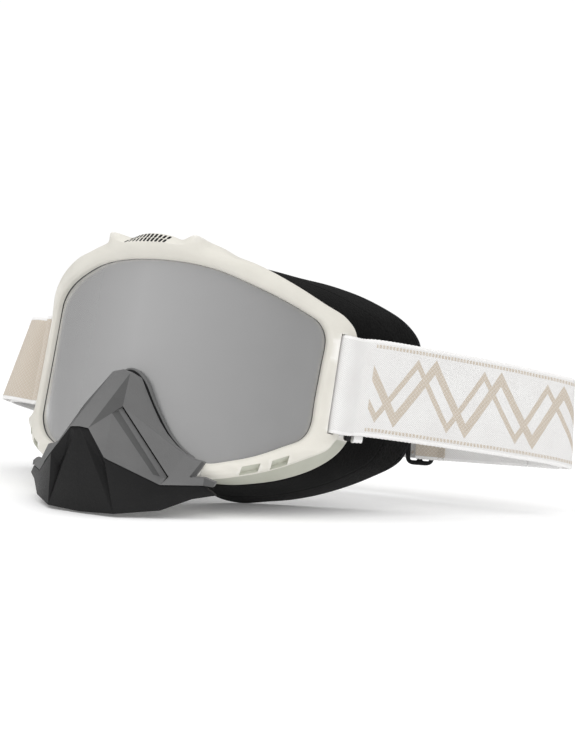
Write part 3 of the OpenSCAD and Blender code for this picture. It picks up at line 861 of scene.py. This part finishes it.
# The same for its upright ends, round the front of the right bar and behind it
OVER_BAR = np.array([[81.4, 49.4, 4.9, 0, 0], [84.4, 47.2, 4.9, 0, 0], [87, 46.6, 4.9, 0, 0],
                     [88.9, 49, 4.9, 0, 0], [90, 53.6, 5.3, 0, 0], [90.8, 59.8, 6, 0, 0]])
BEHIND_BAR = np.array([[80.5, 50.5, 4.9, 0, 0], [82, 54, 4.9, 0, 0], [84, 58.2, 4.9, 0, 0]])
LEFT = np.array([-1, 1, 1, -1, 1])


def along_route(rows, start, end, offset, count=400):
    """Centres, width directions and normals of a stretch of strap."""
    last = len(rows) - 1

    def at(s):
        i = np.minimum(np.floor(s).astype(int), last - 1)
        picks = [rows[np.clip(i + k, 0, last)] for k in (-1, 0, 1, 2)]
        return spline(*picks, (s - i)[:, None])

    s = np.linspace(start, end, count)
    here = at(s)
    forward = unit(at(np.minimum(s + 0.05, last))[:, :3] - at(np.maximum(s - 0.05, 0))[:, :3])
    width = unit(np.concatenate([here[:, 3:5], np.ones((count, 1))], 1))
    normal = unit(np.cross(forward, width))
    return np.concatenate([here[:, :3] + offset * normal, width, normal], 1)


def evened(stretches, step=0.75):
    """Joined stretches, smoothed where they meet and spaced evenly."""
    line = np.concatenate(stretches)
    for _ in range(2):
        run = run_along(line[:, :3])
        places = np.arange(0, run[-1], step)
        line = np.stack([np.interp(places, run, values) for values in line.T], 1)
        for _ in range(4):
            line[1:-1] = (line[:-2] + 2 * line[1:-1] + line[2:]) / 4
    line[:, 3:6] = unit(line[:, 3:6])
    line[:, 6:9] = unit(line[:, 6:9])
    return line


SCALLOP = 2.25    # millimetres from one scallop of the woven edge to the next


def ribbon(name, line, thick=1.4, ripple=0.12):
    """Webbing with rounded, slightly scalloped edges and a cloth map in millimetres."""
    half, skin = STRAP_WIDTH / 2, thick / 2
    flat = np.linspace(-half + 0.7, half - 0.7, 18)
    rim = [(half - inset, height) for inset, height in
           ((0.3, 0.82), (0.06, 0.45), (0, 0), (0.06, -0.45), (0.3, -0.82))]
    profile = [(a, 1.0) for a in flat] + rim
    profile += [(a, -1.0) for a in flat[::-1]] + [(-a, -b) for a, b in rim]
    profile = np.array(profile)
    run = run_along(line[:, :3])
    wave = ripple * np.sin(run * 2 * math.pi / SCALLOP)
    edge = np.clip((np.abs(profile[:, 0]) - half + 1.2) / 1.2, 0, 1) * np.sign(profile[:, 0])
    a = profile[None, :, 0] + wave[:, None] * edge[None]
    b = profile[None, :, 1] * skin
    centre, across, out = np.split(line[:, None], 3, axis=2)
    obj = ring_mesh(name, centre + a[..., None] * across + b[..., None] * out, False, 60)
    layer = obj.data.uv_layers.new(name="cloth")
    index = np.zeros(len(obj.data.loops), int)
    obj.data.loops.foreach_get("vertex_index", index)
    uv = np.stack([(a + half).ravel()[index], np.repeat(run, len(profile))[index]], 1)
    layer.data.foreach_set("uv", uv.astype(np.float32).ravel())
    return obj


OUTER, INNER = 2.9, -2.0    # how far the strap's two layers lie from the route


def outer_strap():
    """The outer layer, from bar to bar, with its pattern and the beige field at its left end."""
    over_left = (OVER_BAR * LEFT)[::-1] - np.array([0, 0, 0.6, 0, 0])
    line = evened([along_route(OVER_BAR, 0, 4.6, 0), along_route(ROUTE, 0.25, 29.75, OUTER, 4000),
                   along_route(over_left, 0.4, 5, 0)])
    obj = ribbon("strap_outer", line)
    length = run_along(line[:, :3])[-1]
    weave = webbing_material("strap_band_weave", 26, length - 103, length - 95)
    finish_piece(obj, weave, "goggle", "strap_webbing", "strap_band")


def follower(name, line):
    """A length of the inner layer next to a slider, baked into the shared frame."""
    obj = ribbon(name, line)
    obj.data.materials.append(PLAIN_WEAVE)
    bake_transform(obj)
    return obj


def inner_strap():
    """The inner layer: from the right bar round the fold, on to the right slider, and from the
    left slider to the left bar."""
    line = evened([along_route(BEHIND_BAR, 0, 2, 0), along_route(ROUTE, 0.25, 12, INNER, 2000)])
    obj = ribbon("strap_inner_right", line)
    finish_piece(obj, PLAIN_WEAVE, "goggle", "strap_webbing", "strap_return_right")

    line = evened([along_route(ROUTE, 12, 13.5, INNER)])
    obj = follower("strap_inner_rear", line[line[:, 0] > 101])

    line = evened([along_route(ROUTE, 17.72, 29.75, INNER, 2000),
                   along_route((BEHIND_BAR * LEFT)[::-1], 0, 2, 0)])
    obj = follower("strap_inner_left", line[line[:, 0] < -52.5])
    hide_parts("strap_return_left")


def anchor(name, start, end):
    """The sewn block of folded webbing behind a strap bar, hanging a little below the band."""
    line = evened([along_route(ROUTE, start, end, 0.2)], 0.5)
    line[:, 2] -= 3.4
    obj = ribbon(name, line, 2.6, 0.15)
    finish_piece(obj, PLAIN_WEAVE, "goggle", "strap_webbing")


# ------------ sliders and posts

def run_frame(x):
    """A slider's middle and directions at rest: along the rear run, outwards and up the strap,
    whose width leans by 11.6 degrees there."""
    yaw = math.atan2(RUN_START[1] - RUN_END[1], RUN_START[0] - RUN_END[0])
    pitch = -math.asin((RUN_START[2] - RUN_END[2]) / np.linalg.norm(RUN_START - RUN_END))
    turn = (Matrix.Rotation(yaw, 3, "Z") @ Matrix.Rotation(pitch, 3, "Y")
            @ Matrix.Rotation(math.radians(11.6), 3, "X"))
    return run_point(x), np.array(turn)


def on_run(x, points):
    """Puts points given in a slider's own frame onto the rear run."""
    origin, turn = run_frame(x)
    return np.asarray(points, float) @ turn.T + origin


def slider(word, x):
    """A three-bar slider with two rounded slots and softened edges."""
    upright = (90, 0, 0)
    points, faces = block((0, 0, 0), (16, 55, 2), upright, 5, 7)
    obj = add_mesh(f"slider_{word}_plate", placed(on_run(x, points)), faces)
    slots = [block((s * 3.4, 0, 0), (4.2, 50, 6), upright, 1.2, 7) for s in SIDES]
    carve(obj, [(on_run(x, points), faces) for points, faces in slots])
    modify(obj, "BEVEL", width=0.0006, segments=3, limit_method="ANGLE",
           angle_limit=math.radians(50))
    smooth(obj, 35)
    finish_piece(obj, BLACK, f"{word}_slider", "black_plastic", f"slider_{word}")


# The webbing's path round the slider's middle bar: along the strap and outwards
END_PATH = [(15.2, -2.15), (9, -2.15), (5.2, -1.95), (3.2, -0.7), (2.3, 0.9), (1.0, 1.5), (-1.0, 1.5),
            (-2.0, 0.9), (-2.1, 0), (-2.0, -1.1), (-0.8, -1.75), (1.6, -2.2), (4.2, -3.1),
            (8, -3.35), (15.4, -3.35)]


def stitch(side, column, z):
    """One slanted stitch with tapered ends, in a slider's own frame."""
    angles = np.linspace(0, 2 * math.pi, 6, endpoint=False)
    rings = [[(side * (column + 0.55 * t), -3.95 + size * math.cos(a) * 0.8,
               z + 0.45 * t + size * math.sin(a)) for a in angles]
             for t, size in ((-1, 0.03), (-0.8, 0.18), (0, 0.24), (0.8, 0.18), (1, 0.03))]
    return np.array(rings).reshape(-1, 3), capped_faces(len(rings), len(angles))


def strap_end(word, side, x):
    """The sewn end: webbing round the middle bar, folded back and held by a bar tack."""
    rows = np.array([[side * a, b, 0, 0, 0] for a, b in END_PATH])
    if side < 0:
        rows = rows[::-1]
    line = evened([along_route(rows, 0, len(END_PATH) - 1, 0, 600)], 0.4)
    origin, turn = run_frame(x)
    line = np.concatenate([line[:, :3] @ turn.T + origin, line[:, 3:6] @ turn.T,
                           line[:, 6:] @ turn.T], 1)
    obj = ribbon(f"strap_end_{word}_loop", line, 1.05, 0.1)
    finish_piece(obj, END_WEAVE, f"{word}_slider", "strap_webbing", f"strap_end_{word}")

    made = [stitch(side, column, i * 1.5 + shift)
            for column, shift in ((11.4, 0), (12.6, 0.5), (13.8, 0)) for i in range(-15, 16)]
    points, faces = gather(made)
    tack = add_mesh(f"strap_end_{word}_stitches", placed(on_run(x, points)), faces, 80)
    finish_piece(tack, THREAD, f"{word}_slider", "strap_webbing")


def strap_post(word, side):
    """The black bar that carries the strap, with rounded ends."""
    end = [(25.4, -0.8), (25.1, -0.32), (24.3, 0), (18, 0)]
    rings = []
    for z, grow in [(-z, grow) for z, grow in end] + [(0, -0.08)] + end[::-1]:
        w, d = 1.7 + grow, 1.4 + grow
        rings.append([(-w, -d, z), (w, -d, z), (w, d, z), (-w, d, z)])
    sections = rounded(np.array(rings, float), 0.8, 5)
    turn = np.array(Matrix.Rotation(math.radians(54), 3, "Z"))
    sections = (sections @ turn.T + np.array([88.6, 60.5, 5])) * np.array([side, 1, 1])
    obj = ring_mesh(f"strap_bar_{word}", sections, closed=False)
    finish_piece(obj, BLACK, "goggle", "black_plastic", f"strap_post_{word}")


# ------------ studio

def floor():
    """A wide pale disc just under the part."""
    low = cad_box[0].z
    bpy.ops.mesh.primitive_circle_add(vertices=96, radius=6, fill_type="NGON",
                                      location=(0, 0, low - 0.0001))
    disc = bpy.context.object
    disc.name = "studio_floor"
    g = Graph("studio_floor")
    base = g.blend(g.between(g.noise(3, 2), 0.3, 0.7), (0.93, 0.93, 0.93, 1), (0.95, 0.95, 0.95, 1))
    disc.data.materials.append(g.finish(Base_Color=base, Roughness=0.9, Specular_IOR_Level=0.1,
                                        Emission_Color=(1, 1, 1, 1), Emission_Strength=0.12))


def surroundings():
    """A white world that looks brighter than the light that it gives."""
    world = bpy.data.worlds.new("studio")
    bpy.context.scene.world = world
    world.use_nodes = True
    tree = world.node_tree
    tree.nodes.clear()
    seen = tree.nodes.new("ShaderNodeLightPath")
    both = tree.nodes.new("ShaderNodeMixShader")
    out = tree.nodes.new("ShaderNodeOutputWorld")
    tree.links.new(seen.outputs["Is Camera Ray"], both.inputs[0])
    for socket, strength in ((1, 0.42), (2, 1.02)):
        white = tree.nodes.new("ShaderNodeBackground")
        white.inputs["Color"].default_value = (1, 1, 1, 1)
        white.inputs["Strength"].default_value = strength
        tree.links.new(white.outputs[0], both.inputs[socket])
    tree.links.new(both.outputs[0], out.inputs["Surface"])


def lamp(name, kind, power, place, aim, **settings):
    """A light that shines from a place towards another."""
    light = bpy.data.lights.new(name, kind)
    light.energy = power
    for key, value in settings.items():
        setattr(light, key, value)
    obj = bpy.data.objects.new(name, light)
    bpy.context.scene.collection.objects.link(obj)
    obj.location = place
    obj.rotation_euler = (Vector(aim) - Vector(place)).to_track_quat("-Z", "Y").to_euler()
    return obj


def photo_camera():
    """The photo's view: turned round the part, a little above it and slightly rolled."""
    azimuth, elevation, roll = (math.radians(a) for a in (25.7, 2.1, 3.8))
    target, distance = Vector((0.0746, -0.0389, 0.0066)), 0.65
    back = Vector((math.sin(azimuth) * math.cos(elevation), -math.cos(azimuth) * math.cos(elevation),
                   math.sin(elevation)))
    right = Vector((math.cos(azimuth), math.sin(azimuth), 0))
    up = back.cross(right)
    right, up = (right * math.cos(roll) + up * math.sin(roll),
                 up * math.cos(roll) - right * math.sin(roll))
    data = bpy.data.cameras.new("photo_camera")
    data.sensor_width = 36
    data.lens = 67.75
    data.clip_start = 0.01
    camera = bpy.data.objects.new("photo_camera", data)
    bpy.context.scene.collection.objects.link(camera)
    turn = Matrix((right, up, back)).transposed()
    camera.matrix_world = Matrix.Translation(target + back * distance) @ turn.to_4x4()
    bpy.context.scene.camera = camera


def studio():
    """Floor, white surroundings, three soft lights and the camera."""
    floor()
    surroundings()
    middle = (0, 0.03, 0)
    lamp("key", "AREA", 2, (-0.6, -0.7, 1.5), middle, shape="DISK", size=1.0)
    fill = lamp("fill", "AREA", 1.5, (1.3, -1.0, 0.5), middle, shape="DISK", size=1.5)
    overhead = lamp("overhead", "SUN", 2.1, (0.1, -0.3, 1), (0, 0, 0), angle=math.radians(110))
    fill.visible_glossy = overhead.visible_glossy = False
    photo_camera()
    bpy.context.scene.view_settings.view_transform = "Standard"


# ------------ everything

studio()
frame_shell()
brow_marks()
lenses()
foams()
nose_plate()
nose_rim()
nose_beak()
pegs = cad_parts["nose_pegs"]
pegs.data.materials.clear()
pegs.data.materials.append(WHITE)
outer_strap()
inner_strap()
anchor("strap_anchor_right", 0.45, 0.98)
anchor("strap_anchor_left", 28.8, 29.45)
for word, side, place in (("right", 1, 87), ("left", -1, -38)):
    slider(word, place)
    strap_end(word, side, place)
    strap_post(word, side)
